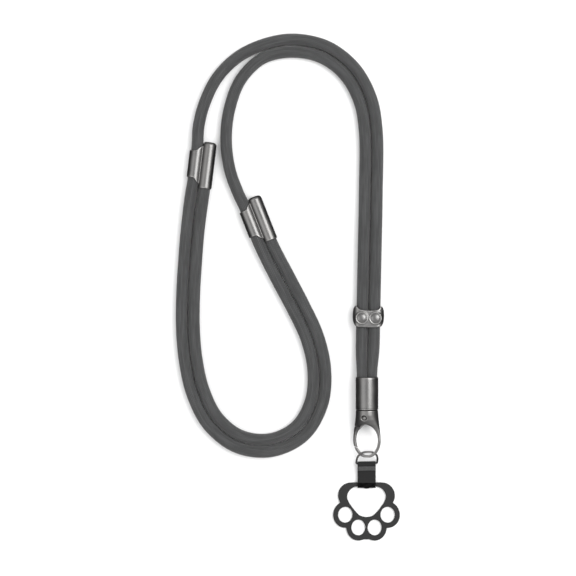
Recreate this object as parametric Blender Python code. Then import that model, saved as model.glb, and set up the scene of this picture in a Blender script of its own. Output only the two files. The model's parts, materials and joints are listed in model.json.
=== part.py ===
"""Phone crossbody strap: two round cords, two sliders, a keeper, a swivel clasp and a paw patch.

The strap lies flat on a table, +Z up. The loop lies to the left, and the clasp and its
patch hang off the right-hand end, towards -Y. Lengths below are in millimetres and
angles in degrees. The meshes are built in metres.
"""

import math

import bmesh
import bpy
from mathutils import Matrix, Vector

MM = 0.001

# Clearances, and how far a cutter reaches past what it cuts
RUNNING_GAP = 0.3
PIN_GAP = 0.15
OVERRUN = 1.0

# Cords
CORD_RADIUS = 3.85
CORD_PITCH = 8.0
CORD_BEVEL_STEPS = 2
CRIMPED_RADIUS = 3.15

# Right-hand column: the strap's straight run down to the patch
AXIS_X = 48.5

# Ferrule, which crimps both cords and holds the swivel
FERRULE_RADIUS = 7.45
FERRULE_WALL = 0.65
FERRULE_LENGTH = 21.6
FERRULE_FLOOR = 2.4
FERRULE_CHAMFER = 0.35
FERRULE_LIP = 1.0
FERRULE_FOOT_Y = -45.0
ROUND_SEGMENTS = 48

# Clasp, in its own frame: +Y up the strap from the seam, +Z out of its face
SEAM_GAP = 0.35
CLASP_ROLL = -20.0
STEM_RADIUS = 2.3
BUTTON_RADIUS = 4.2
BUTTON_THICKNESS = 2.2
CLASP_WIDEST_Y = -20.0
CLASP_HALF_WIDTH = 9.6
CLASP_BOTTOM_Y = -31.7
CLASP_END_HALF_THICKNESS = 0.8
EYE_CENTRE_Y = -19.6
EYE_HALF_WIDTH = 7.65
EYE_UPPER_LENGTH = 10.4
EYE_LOWER_LENGTH = 10.2
# Station along the block: y, half width, half thickness, squareness of the section
CLASP_SHOULDER_ROWS = (
    (0.0, 7.35, 7.35, 2.0),
    (-3.0, 7.5, 7.35, 2.0),
    (-6.0, 7.8, 6.6, 2.1),
    (-9.0, 8.25, 4.9, 2.3),
    (-11.5, 8.65, 3.1, 2.6),
    (-14.0, 9.05, 2.0, 3.0),
    (-17.0, 9.4, 1.35, 3.2),
)
CLASP_LOWER_TURNS = 9
CLASP_LOWER_SWEEP = 76.0
CLASP_SQUARENESS = 3.0
CLASP_SIDES = 40
EYE_POINTS = 48
PIN_SEGMENTS = 24

# Gate: the left arm of the clasp, on a rivet through the block
PIVOT_Y = -4.9
RIVET_RADIUS = 1.1
RIVET_HEAD_RADIUS = 1.45
RIVET_HALF_LENGTH = 6.2
RIVET_HEAD_RISE = 0.75
RIVET_SINK_RADIUS = 1.85
GATE_TOP_Y = -11.0
GATE_TIP_RADIUS = 21.1
GATE_TIP_STEPS = 24
GATE_SIDE_X = 3.0
GATE_TONGUE_THICKNESS = 1.4
GATE_EYE_RADIUS = 2.3
GATE_NECK_RADIUS = 1.3
GATE_NECK_END = (-6.7, -12.6)
GATE_LINK_POINTS = 9
GATE_SLOT_DEPTH = 2.0

# D-ring, pinched between the clasp's eye and the webbing loop
RING_WIRE_RADIUS = 0.68
RING_HALF_WIDTH = 7.05
RING_HEIGHT = 9.7
RING_CORNER = 1.1
RING_STRAIGHT = 1.0
RING_BAR_DROP = 5.95
RING_BAR_Y = FERRULE_FOOT_Y - SEAM_GAP + EYE_CENTRE_Y - EYE_LOWER_LENGTH - RING_BAR_DROP
RING_BAR_Z = 2.8
RING_SQUARENESS = 2.4
RING_PITCH = 32.5
RING_ROLL = 8.0
RING_SIDES = 10

# Webbing tab, folded round the ring's bar and sewn to the patch
WEBBING_WIDTH = 12.0
WEBBING_THICKNESS = 0.85
TAB_LENGTH = 12.9
TAB_OVERLAP = 3.4
PATCH_TOP_Y = RING_BAR_Y - TAB_LENGTH
TAB_END_Y = PATCH_TOP_Y - TAB_OVERLAP
TAB_SEAT_GAP = 0.2
TAB_UNROLLED_BY = 9.0
TAB_EYE_POINTS = 16

# Paw patch, in its own frame: x across, y up, from the middle of its top edge
PATCH_THICKNESS = 1.6
PATCH_RIM = 3.3
SIDE_TOE = (14.1, -21.5, 4.8, 5.37)
LOWER_TOE = (5.43, -30.0, 4.67, 5.33)
SHOULDER_LOBE = (10.3, -8.7, 8.6, 8.6)
CHIN_LOBE = (0.0, -33.0, 4.9, 4.9)
TOE_LEAN = 5.0
PATCH_MIDDLE_Y = -19.0
PATCH_OUTLINE_POINTS = 132
TOE_POINTS = 28
# Right half of the heart-shaped window, from its top notch to its point
WINDOW_HALF = (
    (0.0, -4.1),
    (3.0, -3.35),
    (6.2, -2.6),
    (9.6, -3.7),
    (12.1, -6.4),
    (12.9, -9.5),
    (11.9, -12.9),
    (9.8, -16.1),
    (7.2, -19.4),
    (4.3, -22.1),
    (0.0, -23.1),
)

# Keeper: a cat-head bead that slides on both cords
KEEPER_Y = 16.3
KEEPER_TILT = -1.21
KEEPER_LINE_X = 49.15
KEEPER_LINE_SLOPE = 0.0211
KEEPER_CORD_HEIGHT = 5.0
KEEPER_HALF_WIDTH = 10.4
KEEPER_FACE_WALL = 1.45
KEEPER_SHOULDER = 4.6
KEEPER_SHOULDER_STEPS = 6
# Right half of the head seen from the front, from the dip between the ears down
KEEPER_HALF = (
    (0.0, 4.4),
    (4.6, 4.7),
    (6.6, 5.3),
    (8.5, 7.3),
    (9.8, 5.4),
    (10.35, 2.6),
    (10.4, -0.2),
    (9.95, -3.2),
    (8.4, -6.0),
    (4.8, -6.7),
    (0.0, -6.75),
)
BOSS_X = 4.5
BOSS_Y = -0.6
BOSS_RADIUS = 4.25
BOSS_RISE = 0.4
DOME_RADIUS = 3.1
DOME_RISE = 0.95
BOSS_EDGE = 0.2
BOSS_RIM_WIDTH = 0.6
BOSS_GROOVE_RISE = 0.05
KEEPER_SEGMENTS = 32

# Sliders, the same casting twice: an open barrel beside a longer blind one
BARREL_RADIUS = 4.7
OPEN_HALF_LENGTH = 9.0
BLIND_HALF_LENGTH = 15.5
STEP_RISE = 3.6
STEP_WIDTH = 4.6
STEP_POINTS = 8
BLIND_TOP_WALL = 2.4
BLIND_TOP_ROUND = 2.2
BLIND_MOUTH_EDGE = 0.3
SLIDER_SEGMENTS = 36
SLIDER_LEFT_PLACE = (-61.4, 117.2, -7.0)
SLIDER_RIGHT_PLACE = (-24.6, 80.1, 21.5)

# Cord routes, from the ferrule to the blind barrels: x, y and height of the cord's middle
OUTER_ROUTE = (
    (51.9, -37.4, 7.45),
    (51.9, -23.2, 7.45),
    (52.2, -16.5, 6.7),
    (52.75, -10.0, 5.5),
    (53.1, -5.0, 5.0),
    (53.49, 14.0, 5.0),
    (54.15, 45.0, 5.0),
    (54.55, 64.0, 5.0),
    (55.25, 98.2, 3.95),
    (55.2, 140.6, 3.95),
    (51.2, 162.4, 3.95),
    (40.2, 182.0, 3.95),
    (22.3, 195.8, 3.95),
    (0.3, 200.6, 3.95),
    (-19.3, 197.4, 3.95),
    (-37.2, 188.8, 3.95),
    (-51.1, 174.7, 3.95),
    (-59.7, 156.8, 3.95),
    (-63.2, 142.0, 4.2),
    (-63.91, 129.6, 4.7),
    (-65.37, 117.7, 4.7),
    (-66.83, 105.8, 4.7),
    (-68.3, 97.4, 4.4),
    (-71.0, 75.6, 3.95),
    (-72.8, 53.7, 3.95),
    (-74.1, 31.7, 3.95),
    (-74.3, 9.5, 3.95),
    (-72.4, -12.8, 3.95),
    (-67.4, -34.8, 3.95),
    (-56.8, -55.4, 3.95),
    (-38.0, -70.1, 3.95),
    (-14.4, -72.8, 3.95),
    (7.2, -62.2, 3.95),
    (19.1, -41.5, 3.95),
    (21.0, -18.4, 3.95),
    (16.1, 4.0, 3.95),
    (6.8, 24.4, 3.95),
    (-3.3, 43.8, 4.1),
    (-14.65, 65.75, 4.7),
    (-24.55, 90.87, 4.7),
)
INNER_ROUTE = (
    (45.1, -37.4, 7.45),
    (45.1, -23.2, 7.45),
    (45.05, -16.5, 6.7),
    (44.95, -10.0, 5.5),
    (45.0, -5.0, 5.0),
    (45.39, 14.0, 5.0),
    (46.05, 45.0, 5.0),
    (46.45, 64.0, 5.0),
    (47.15, 98.3, 3.95),
    (47.1, 140.1, 3.95),
    (43.5, 159.7, 3.95),
    (34.1, 176.7, 3.95),
    (18.9, 188.4, 3.95),
    (-0.2, 192.4, 3.95),
    (-20.2, 188.3, 3.95),
    (-34.8, 174.4, 3.95),
    (-42.4, 155.3, 3.95),
    (-44.9, 134.9, 3.95),
    (-42.5, 114.5, 4.0),
    (-36.6, 97.9, 4.5),
    (-32.72, 89.8, 4.7),
    (-28.32, 78.65, 4.7),
    (-22.46, 63.75, 4.7),
    (-10.7, 40.0, 3.9),
    (-0.4, 20.7, 3.95),
    (8.5, 1.3, 3.95),
    (12.9, -19.0, 3.95),
    (11.3, -39.4, 3.95),
    (1.5, -56.4, 3.95),
    (-15.5, -64.8, 3.95),
    (-35.0, -62.6, 3.95),
    (-50.4, -50.5, 3.95),
    (-59.7, -32.2, 3.95),
    (-64.4, -11.6, 3.95),
    (-66.2, 9.8, 3.95),
    (-66.0, 31.3, 3.95),
    (-64.7, 53.1, 3.95),
    (-62.9, 74.8, 4.0),
    (-59.5, 99.84, 4.7),
    (-56.6, 123.6, 4.7),
)
BENT_ENOUGH = 8.0
CRIMP_REACH = 0.25
# Cord radius near the ferrule: y of the station and the radius there
CRIMP_ROWS = ((-23.2, CRIMPED_RADIUS), (-16.5, 3.35), (-10.0, 3.65), (-5.0, CORD_RADIUS))

COLOURS = {
    "cord": ((0.055, 0.056, 0.058), 0.85, 0.0),
    "gunmetal": ((0.09, 0.09, 0.095), 0.34, 0.9),
    "webbing": ((0.012, 0.012, 0.013), 0.9, 0.0),
    "patch": ((0.01, 0.01, 0.011), 0.55, 0.0),
}


def clear_scene():
    """Remove every object that the file holds."""
    for item in list(bpy.data.objects):
        bpy.data.objects.remove(item, do_unlink=True)


def material(name):
    """Make or fetch the Principled material of this name from COLOURS."""
    found = bpy.data.materials.get(name)
    if found:
        return found
    colour, roughness, metallic = COLOURS[name]
    made = bpy.data.materials.new(name)
    made.use_nodes = True
    shader = made.node_tree.nodes["Principled BSDF"]
    shader.inputs["Base Color"].default_value = (*colour, 1.0)
    shader.inputs["Roughness"].default_value = roughness
    shader.inputs["Metallic"].default_value = metallic
    return made


def add_object(name, bm, material_name):
    """Turn a bmesh in millimetres into a smooth-shaded object in metres."""
    bmesh.ops.recalc_face_normals(bm, faces=bm.faces)
    mesh = bpy.data.meshes.new(name)
    bm.to_mesh(mesh)
    bm.free()
    mesh.transform(Matrix.Scale(MM, 4))
    mesh.materials.append(material(material_name))
    mesh.shade_smooth()
    mesh.set_sharp_from_angle(angle=math.radians(35.0))
    made = bpy.data.objects.new(name, mesh)
    bpy.context.collection.objects.link(made)
    return made


def combine(base, tool, operation):
    """Apply an exact Boolean of tool to base, then remove tool."""
    step = base.modifiers.new(operation.title(), "BOOLEAN")
    step.operation = operation
    step.solver = "EXACT"
    step.object = tool
    bpy.context.view_layer.update()
    graph = bpy.context.evaluated_depsgraph_get()
    mesh = bpy.data.meshes.new_from_object(base.evaluated_get(graph))
    base.modifiers.clear()
    base.data = mesh
    bpy.data.objects.remove(tool, do_unlink=True)
    mesh.shade_smooth()
    mesh.set_sharp_from_angle(angle=math.radians(35.0))


def place(made, location, rotation=None):
    """Place an object at a location in millimetres, with an optional rotation matrix."""
    turn = rotation.to_4x4() if rotation else Matrix.Identity(4)
    made.matrix_world = Matrix.Translation(Vector(location) * MM) @ turn


def lathe(profile, segments, axis="Y", centre=(0.0, 0.0)):
    """Turn a closed profile of (radius, height) about the Y or Z axis.

    A profile that starts and ends at radius 0 gives a full round body, and one that
    never meets the axis gives a tube, whose last point joins its first.
    """
    bm = bmesh.new()
    rings = []
    for radius, height in profile:
        count = 1 if radius == 0.0 else segments
        ring = []
        for index in range(count):
            angle = 2.0 * math.pi * index / segments
            across, beside = radius * math.cos(angle), radius * math.sin(angle)
            if axis == "Y":
                point = (centre[0] + across, height, centre[1] + beside)
            else:
                point = (centre[0] + across, centre[1] + beside, height)
            ring.append(bm.verts.new(point))
        rings.append(ring)
    pairs = list(zip(rings, rings[1:]))
    if profile[0][0] > 0.0:
        pairs.append((rings[-1], rings[0]))
    for lower, upper in pairs:
        bridge(bm, lower, upper)
    return bm


def bridge(bm, lower, upper):
    """Join two rings of vertices, either of which may be a single point."""
    count = max(len(lower), len(upper))
    for index in range(count):
        after = (index + 1) % count
        corners = [lower[index % len(lower)], lower[after % len(lower)]]
        corners += [upper[after % len(upper)], upper[index % len(upper)]]
        unique = list(dict.fromkeys(corners))
        if len(unique) > 2:
            bm.faces.new(unique)


def prism(outline, low, high, holes=(), along="Z"):
    """Extrude an outline, with optional holes, between two levels along Z, X or Y."""
    bm = bmesh.new()
    edges = []
    for loop in (outline, *holes):
        ring = [bm.verts.new(oriented(point, low, along)) for point in loop]
        for index, vertex in enumerate(ring):
            edges.append(bm.edges.new((vertex, ring[(index + 1) % len(ring)])))
    if holes:
        bmesh.ops.triangle_fill(bm, use_beauty=True, edges=edges)
    else:
        bmesh.ops.contextual_create(bm, geom=edges)
    grown = bmesh.ops.extrude_face_region(bm, geom=list(bm.faces), use_keep_orig=True)
    moved = [item for item in grown["geom"] if isinstance(item, bmesh.types.BMVert)]
    shift = Vector(oriented((0.0, 0.0), high, along)) - Vector(oriented((0.0, 0.0), low, along))
    bmesh.ops.translate(bm, verts=moved, vec=shift)
    return bm


def oriented(point, level, along):
    """Place a flat point at a level along the extrusion's axis."""
    first, second = point
    if along == "Z":
        return (first, second, level)
    if along == "Y":
        return (first, level, second)
    return (level, first, second)


def box(low, high):
    """Make a box between two corners."""
    outline = ((low[0], low[1]), (high[0], low[1]), (high[0], high[1]), (low[0], high[1]))
    return prism(outline, low[2], high[2])


def mirrored(half):
    """Close a right half outline, given from top to bottom, with its left half."""
    left = [(-x, y) for x, y in reversed(half[1:-1])]
    return list(half) + left


def catmull_rom(before, start, end, after, share):
    """Read one centripetal Catmull-Rom span at a share of its length."""
    points = [before, start, end, after]
    knots = [0.0]
    for first, second in zip(points, points[1:]):
        knots.append(knots[-1] + math.sqrt((second - first).length))
    at = knots[1] + (knots[2] - knots[1]) * share
    for spans in (((0, 1), (1, 2), (2, 3)), ((0, 2), (1, 3)), ((1, 2),)):
        weights = [(at - knots[low]) / (knots[high] - knots[low]) for low, high in spans]
        points = [points[index].lerp(points[index + 1], weight) for index, weight in enumerate(weights)]
    return points[0]


def rounded(outline, steps):
    """Return a closed outline smoothed by Catmull-Rom spans through its points."""
    flat = [Vector((x, y, 0.0)) for x, y in outline]
    count = len(flat)
    result = []
    for index in range(count):
        span = [flat[(index + shift) % count] for shift in (-1, 0, 1, 2)]
        for step in range(steps):
            point = catmull_rom(*span, step / steps)
            result.append((point.x, point.y))
    return result


def route_points(route):
    """Read the smooth curve through a cord's route, at its points and between bent ones."""
    points = [Vector(point) for point in route]
    padded = [points[0] * 2 - points[1], *points, points[-1] * 2 - points[-2]]
    result = []
    for index in range(1, len(padded) - 2):
        span = padded[index - 1:index + 3]
        result.append(span[1])
        turn = math.degrees((span[3] - span[2]).angle(span[1] - span[0]))
        if turn > BENT_ENOUGH:
            result.append(catmull_rom(*span, 0.5))
    result.append(padded[-2])
    return result


def crimp_share(y):
    """Return the cord's radius at a height y, as a share of its full radius."""
    rows = CRIMP_ROWS
    if y <= rows[0][0]:
        return rows[0][1] / CORD_RADIUS
    for (low, radius_low), (high, radius_high) in zip(rows, rows[1:]):
        if y <= high:
            weight = (y - low) / (high - low)
            return (radius_low + (radius_high - radius_low) * weight) / CORD_RADIUS
    return 1.0


def build_cord(name, route):
    """Make one cord as a bevelled curve along its route, thinner in the ferrule."""
    curve = bpy.data.curves.new(name, "CURVE")
    curve.dimensions = "3D"
    curve.bevel_depth = CORD_RADIUS * MM
    curve.bevel_resolution = CORD_BEVEL_STEPS
    curve.use_fill_caps = True
    points = route_points(route)
    spline = curve.splines.new("POLY")
    spline.points.add(len(points) - 1)
    for index, (target, point) in enumerate(zip(spline.points, points)):
        target.co = (*(point * MM), 1.0)
        crimped = index < len(points) * CRIMP_REACH
        target.radius = crimp_share(point.y) if crimped else 1.0
    curve.materials.append(material("cord"))
    made = bpy.data.objects.new(name, curve)
    bpy.context.collection.objects.link(made)
    return made


def build_ferrule():
    """Make the round cap that crimps the cords and carries the clasp's stem."""
    bore = FERRULE_RADIUS - FERRULE_WALL
    stem_hole = STEM_RADIUS + RUNNING_GAP
    profile = (
        (stem_hole, 0.0),
        (FERRULE_RADIUS - FERRULE_CHAMFER, 0.0),
        (FERRULE_RADIUS, FERRULE_CHAMFER),
        (FERRULE_RADIUS, FERRULE_LENGTH - FERRULE_LIP),
        (FERRULE_RADIUS - FERRULE_CHAMFER, FERRULE_LENGTH),
        (bore, FERRULE_LENGTH),
        (bore, FERRULE_FLOOR),
        (stem_hole, FERRULE_FLOOR),
    )
    made = add_object("ferrule", lathe(profile, ROUND_SEGMENTS), "gunmetal")
    place(made, (AXIS_X, FERRULE_FOOT_Y, FERRULE_RADIUS))
    return made


def section_ring(y, half_width, half_thickness, squareness):
    """Return one superellipse section of the clasp at a height y."""
    ring = []
    for index in range(CLASP_SIDES):
        angle = 2.0 * math.pi * index / CLASP_SIDES
        across, beside = math.cos(angle), math.sin(angle)
        x = math.copysign(abs(across) ** (2.0 / squareness), across) * half_width
        z = math.copysign(abs(beside) ** (2.0 / squareness), beside) * half_thickness
        ring.append((x, y, z))
    return ring


def clasp_rows():
    """List the clasp's sections from the block's top down to the bottom of its ring."""
    rows = list(CLASP_SHOULDER_ROWS)
    depth = CLASP_WIDEST_Y - CLASP_BOTTOM_Y
    ring_thickness = CLASP_SHOULDER_ROWS[-1][2]
    for turn in range(CLASP_LOWER_TURNS + 1):
        share = turn / CLASP_LOWER_TURNS
        angle = math.radians(CLASP_LOWER_SWEEP) * share
        y = CLASP_WIDEST_Y - depth * math.sin(angle)
        half_width = CLASP_HALF_WIDTH * math.cos(angle)
        thinned = min(1.0, share * 2.0)
        half_thickness = ring_thickness + (CLASP_END_HALF_THICKNESS - ring_thickness) * thinned
        rows.append((y, half_width, half_thickness, CLASP_SQUARENESS))
    return rows


def eye_outline():
    """Return the clasp's egg-shaped eye, seen from the front."""
    outline = []
    for index in range(EYE_POINTS):
        angle = 2.0 * math.pi * index / EYE_POINTS
        length = EYE_UPPER_LENGTH if math.sin(angle) > 0.0 else EYE_LOWER_LENGTH
        x = EYE_HALF_WIDTH * math.cos(angle)
        outline.append((x, EYE_CENTRE_Y + length * math.sin(angle)))
    return outline


def build_clasp_form(name):
    """Make the clasp's whole outside with its eye cut through, before the gate is parted."""
    bm = bmesh.new()
    rings = []
    for row in clasp_rows():
        rings.append([bm.verts.new(point) for point in section_ring(*row)])
    for upper, lower in zip(rings, rings[1:]):
        bridge(bm, upper, lower)
    bm.faces.new(rings[0])
    bm.faces.new(reversed(rings[-1]))
    made = add_object(name, bm, "gunmetal")
    reach = FERRULE_RADIUS * 2.0
    combine(made, add_object("eye_cutter", prism(eye_outline(), -reach, reach), "gunmetal"), "DIFFERENCE")
    return made


def gate_zone(margin):
    """Make the zone round the left arm, ended by an arc about the rivet, that parts the gate."""
    reach = CLASP_HALF_WIDTH * 2.0
    top = GATE_TOP_Y + margin
    radius = GATE_TIP_RADIUS + margin
    first = math.asin((PIVOT_Y - top) / radius)
    last = math.acos(GATE_SIDE_X / radius)
    outline = [(-GATE_SIDE_X, top)]
    for step in range(GATE_TIP_STEPS + 1):
        angle = first + (last - first) * step / GATE_TIP_STEPS
        outline.append((-radius * math.cos(angle), PIVOT_Y - radius * math.sin(angle)))
    return add_object("gate_zone", prism(outline, -reach, reach), "gunmetal")


def tapered_link(start, start_radius, end, end_radius):
    """Return the outline of two discs and the sides that join them."""
    direction = math.atan2(end[1] - start[1], end[0] - start[0])
    outline = []
    for centre, radius, first in ((start, start_radius, 0.5), (end, end_radius, -0.5)):
        for index in range(GATE_LINK_POINTS):
            angle = direction + math.pi * (first + index / (GATE_LINK_POINTS - 1))
            outline.append((centre[0] + radius * math.cos(angle), centre[1] + radius * math.sin(angle)))
    return outline


def clasp_turn():
    """Return the clasp's roll about the strap's axis."""
    return Matrix.Rotation(math.radians(CLASP_ROLL), 3, "Y")


def clasp_place():
    """Return the clasp frame's origin: the block's top, on the swivel axis."""
    return (AXIS_X, FERRULE_FOOT_Y - SEAM_GAP, FERRULE_RADIUS)


def build_hook():
    """Make the clasp's fixed part: swivel stem, block, right arm and nose."""
    made = build_clasp_form("hook")
    button_low = SEAM_GAP + FERRULE_FLOOR + RUNNING_GAP
    stem = (
        (0.0, -OVERRUN),
        (STEM_RADIUS, -OVERRUN),
        (STEM_RADIUS, button_low),
        (BUTTON_RADIUS, button_low),
        (BUTTON_RADIUS, button_low + BUTTON_THICKNESS),
        (0.0, button_low + BUTTON_THICKNESS),
    )
    combine(made, add_object("stem", lathe(stem, PIN_SEGMENTS), "gunmetal"), "UNION")
    combine(made, gate_zone(RUNNING_GAP), "DIFFERENCE")
    half_slot = GATE_TONGUE_THICKNESS / 2.0 + RUNNING_GAP
    slot_edge = GATE_EYE_RADIUS + RUNNING_GAP
    reach = CLASP_HALF_WIDTH * 2.0
    low = (-reach, GATE_TOP_Y - GATE_SLOT_DEPTH, -half_slot)
    slot = box(low, (slot_edge, PIVOT_Y + slot_edge, half_slot))
    combine(made, add_object("slot_cutter", slot, "gunmetal"), "DIFFERENCE")
    combine(made, add_object("rivet_cutter", rivet_hole(), "gunmetal"), "DIFFERENCE")
    place(made, clasp_place(), clasp_turn())
    return made


def rivet_hole():
    """Make the cutter of the rivet's hole and of the sinks for its two heads."""
    hole = RIVET_RADIUS + PIN_GAP
    seat = RIVET_HALF_LENGTH - PIN_GAP
    reach = FERRULE_RADIUS * 1.5
    profile = (
        (0.0, -reach),
        (RIVET_SINK_RADIUS, -reach),
        (RIVET_SINK_RADIUS, -seat),
        (hole, -seat),
        (hole, seat),
        (RIVET_SINK_RADIUS, seat),
        (RIVET_SINK_RADIUS, reach),
        (0.0, reach),
    )
    return lathe(profile, PIN_SEGMENTS, "Z", (0.0, PIVOT_Y))


def build_gate():
    """Make the gate: the parted left arm with a thin tongue to the rivet."""
    made = build_clasp_form("gate")
    combine(made, gate_zone(0.0), "INTERSECT")
    half = GATE_TONGUE_THICKNESS / 2.0
    link = tapered_link((0.0, PIVOT_Y), GATE_EYE_RADIUS, GATE_NECK_END, GATE_NECK_RADIUS)
    combine(made, add_object("tongue", prism(link, -half, half), "gunmetal"), "UNION")
    hole = RIVET_RADIUS + PIN_GAP
    reach = CLASP_HALF_WIDTH
    profile = ((0.0, -reach), (hole, -reach), (hole, reach), (0.0, reach))
    bore = lathe(profile, PIN_SEGMENTS, "Z", (0.0, PIVOT_Y))
    combine(made, add_object("gate_bore", bore, "gunmetal"), "DIFFERENCE")
    made.data.transform(Matrix.Translation((0.0, -PIVOT_Y * MM, 0.0)))
    pivot = Vector(clasp_place()) + clasp_turn() @ Vector((0.0, PIVOT_Y, 0.0))
    place(made, pivot, clasp_turn())
    return made


def build_rivet():
    """Make the gate's rivet, with a low dome sunk in each face of the block."""
    low = RIVET_HALF_LENGTH
    dome = [(RIVET_HEAD_RADIUS * math.cos(turn), low + RIVET_HEAD_RISE * math.sin(turn))
            for turn in (0.0, math.radians(35.0), math.radians(65.0))]
    top = low + RIVET_HEAD_RISE
    upper = [(RIVET_RADIUS, low), *dome, (0.0, top)]
    lower = [(radius, -height) for radius, height in reversed(upper)]
    made = add_object("gate_rivet", lathe(lower + upper, PIN_SEGMENTS, "Z"), "gunmetal")
    pivot = Vector(clasp_place()) + clasp_turn() @ Vector((0.0, PIVOT_Y, 0.0))
    place(made, pivot, clasp_turn())
    return made


def ring_path():
    """Return the D-ring's middle line in its own plane, from the bar's middle."""
    corner = RING_CORNER
    bar_half = RING_HALF_WIDTH - corner
    right = [(0.0, 0.0), (bar_half * 0.5, 0.0), (bar_half, 0.0)]
    for index in range(1, 5):
        angle = math.radians(-90.0 + 22.5 * index)
        right.append((bar_half + corner * math.cos(angle), corner + corner * math.sin(angle)))
    rise = RING_HEIGHT - corner - RING_STRAIGHT
    power = 2.0 / RING_SQUARENESS
    for index in range(9):
        angle = math.radians(10.0 * index)
        across, up = math.cos(angle) ** power, math.sin(angle) ** power
        right.append((RING_HALF_WIDTH * across, corner + RING_STRAIGHT + rise * up))
    right.append((0.0, RING_HEIGHT))
    left = [(-x, y) for x, y in reversed(right[1:-1])]
    return right + left


def build_ring():
    """Make the D-ring by sweeping a round wire along its closed path."""
    bm = bmesh.new()
    path = [Vector((x, y, 0.0)) for x, y in ring_path()]
    count = len(path)
    rings = []
    for index, middle in enumerate(path):
        along = (path[(index + 1) % count] - path[index - 1]).normalized()
        outward = Vector((along.y, -along.x, 0.0))
        ring = []
        for side in range(RING_SIDES):
            angle = 2.0 * math.pi * side / RING_SIDES
            offset = outward * math.cos(angle) + Vector((0.0, 0.0, math.sin(angle)))
            ring.append(bm.verts.new(middle + offset * RING_WIRE_RADIUS))
        rings.append(ring)
    for index, ring in enumerate(rings):
        bridge(bm, ring, rings[(index + 1) % count])
    made = add_object("d_ring", bm, "gunmetal")
    place(made, (AXIS_X, RING_BAR_Y, RING_BAR_Z), ring_turn())
    return made


def ring_turn():
    """Return the D-ring's lie: pitched up the strap and rolled against the clasp."""
    roll = Matrix.Rotation(math.radians(RING_ROLL), 3, "Y")
    return roll @ Matrix.Rotation(math.radians(RING_PITCH), 3, "X")


def build_tab():
    """Make the folded webbing tab, rolled with the ring at its eye and flat on the patch."""
    eye_radius = RING_WIRE_RADIUS + RUNNING_GAP
    fold_radius = eye_radius + WEBBING_THICKNESS
    seat = PATCH_THICKNESS + TAB_SEAT_GAP
    tail_top = seat + 2.0 * WEBBING_THICKNESS
    outline = [(TAB_END_Y, seat), (PATCH_TOP_Y, seat)]
    for degrees in range(-110, 111, 20):
        angle = math.radians(degrees)
        y = RING_BAR_Y + fold_radius * math.cos(angle)
        outline.append((y, RING_BAR_Z + fold_radius * math.sin(angle)))
    outline += [(PATCH_TOP_Y, tail_top), (TAB_END_Y, tail_top)]
    eye = []
    for index in range(TAB_EYE_POINTS):
        angle = 2.0 * math.pi * index / TAB_EYE_POINTS
        eye.append((RING_BAR_Y + eye_radius * math.cos(angle), RING_BAR_Z + eye_radius * math.sin(angle)))
    half = WEBBING_WIDTH / 2.0
    bm = prism(outline, -half, half, (eye,), "X")
    for vertex in bm.verts:
        below = RING_BAR_Y - fold_radius - vertex.co.y
        share = 1.0 - min(max(below / TAB_UNROLLED_BY, 0.0), 1.0)
        vertex.co.z -= vertex.co.x * math.tan(math.radians(RING_ROLL) * share)
    made = add_object("webbing_tab", bm, "webbing")
    place(made, (AXIS_X, 0.0, 0.0))
    return made


def ray_reach(direction, lobe, lean):
    """Return how far a ray from the patch's middle goes before it leaves a lobe, or 0."""
    x, y, radius_x, radius_y = lobe
    turn = Matrix.Rotation(math.radians(-lean), 2)
    start = turn @ Vector((-x, PATCH_MIDDLE_Y - y))
    along = turn @ Vector(direction)
    start = Vector((start.x / radius_x, start.y / radius_y))
    along = Vector((along.x / radius_x, along.y / radius_y))
    a, b, c = along.dot(along), 2.0 * start.dot(along), start.dot(start) - 1.0
    inside = b * b - 4.0 * a * c
    return 0.0 if inside < 0.0 else max(0.0, (-b + math.sqrt(inside)) / (2.0 * a))


def patch_outline():
    """Return the paw's outline: on each ray from its middle, the furthest of its lobes."""
    lobes = [(CHIN_LOBE, 0.0)]
    for side in (1.0, -1.0):
        x, y, radius_x, radius_y = SIDE_TOE
        grown = (side * x, y, radius_x + PATCH_RIM, radius_y + PATCH_RIM)
        lobes.append((grown, side * TOE_LEAN))
        x, y, radius_x, radius_y = LOWER_TOE
        lobes.append(((side * x, y, radius_x + PATCH_RIM, radius_y + PATCH_RIM), 0.0))
        x, y, radius_x, radius_y = SHOULDER_LOBE
        lobes.append(((side * x, y, radius_x, radius_y), 0.0))
    outline = []
    for index in range(PATCH_OUTLINE_POINTS):
        angle = 2.0 * math.pi * (index + 0.5) / PATCH_OUTLINE_POINTS
        direction = (math.cos(angle), math.sin(angle))
        reach = max(ray_reach(direction, lobe, lean) for lobe, lean in lobes)
        if direction[1] > 0.0:
            top_reach = -PATCH_MIDDLE_Y / direction[1]
            if abs(direction[0] * top_reach) < SHOULDER_LOBE[0]:
                reach = top_reach
        outline.append((direction[0] * reach, PATCH_MIDDLE_Y + direction[1] * reach))
    return outline


def toe_outline(toe, side, lean):
    """Return one toe window, leaning towards the middle at its top."""
    x, y, radius_x, radius_y = toe
    turn = Matrix.Rotation(math.radians(side * lean), 2)
    outline = []
    for index in range(TOE_POINTS):
        angle = 2.0 * math.pi * index / TOE_POINTS
        point = turn @ Vector((radius_x * math.cos(angle), radius_y * math.sin(angle)))
        outline.append((side * x + point.x, y + point.y))
    return outline


def build_patch():
    """Make the flat paw patch with its heart window and four toe windows."""
    holes = [rounded(mirrored(WINDOW_HALF), 3)]
    for side in (1.0, -1.0):
        holes.append(toe_outline(SIDE_TOE, side, TOE_LEAN))
        holes.append(toe_outline(LOWER_TOE, side, 0.0))
    bm = prism(patch_outline(), 0.0, PATCH_THICKNESS, holes)
    made = add_object("paw_patch", bm, "patch")
    place(made, (AXIS_X, PATCH_TOP_Y, 0.0))
    return made


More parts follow.
